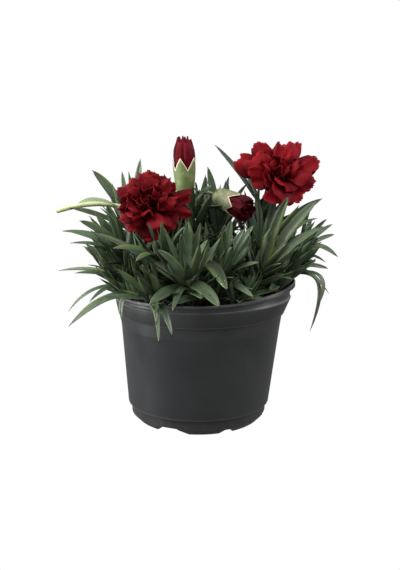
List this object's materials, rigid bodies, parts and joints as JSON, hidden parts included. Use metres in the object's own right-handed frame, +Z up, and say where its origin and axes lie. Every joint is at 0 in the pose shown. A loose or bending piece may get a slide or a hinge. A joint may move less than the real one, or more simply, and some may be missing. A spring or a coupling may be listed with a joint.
{
  "type": "potted dianthus plant",
  "caption": "Dianthus plant with dark red double flowers, buds and narrow blue-green leaves, growing in a round black nursery pot.",
  "frame": {"origin": "on the floor, at the axis of the pot, under the middle of the whole plant", "axes": "+Z up along the pot's axis, the front with the open flowers at -Y, +X to the right seen from the front"},
  "size_m": [0.2367, 0.21, 0.2443],
  "materials": {
    "pot_plastic": "satin black",
    "soil": "rough peat",
    "leaf": "matt with a waxy bloom",
    "flower_stem": "matt with a waxy bloom",
    "petal": "velvety"
  },
  "bodies": {
    "root": {"pot": "pot_plastic", "soil": "soil", "leafy_stem_01": "leaf", "leafy_stem_02": "leaf", "leafy_stem_03": "leaf", "leafy_stem_04": "leaf", "leafy_stem_05": "leaf", "leafy_stem_06": "leaf", "leafy_stem_07": "leaf", "leafy_stem_08": "leaf", "leafy_stem_09": "leaf", "leafy_stem_10": "leaf", "leafy_stem_11": "leaf", "leafy_stem_12": "leaf", "leafy_stem_13": "leaf", "leafy_stem_14": "leaf", "leafy_stem_15": "leaf", "leafy_stem_16": "leaf", "leafy_stem_17": "leaf", "leafy_stem_18": "leaf", "leafy_stem_19": "leaf", "leafy_stem_20": "leaf", "leafy_stem_21": "leaf", "leafy_stem_22": "leaf", "leafy_stem_23": "leaf", "flower_stem_left": "flower_stem", "flower_stem_right": "flower_stem", "flower_stem_upright": "flower_stem", "flower_stem_side": "flower_stem", "cut_stem": "flower_stem", "bloom_left": "petal", "bloom_right": "petal", "bud_upright": "petal", "bud_side": "petal"}
  },
  "joints": []
}
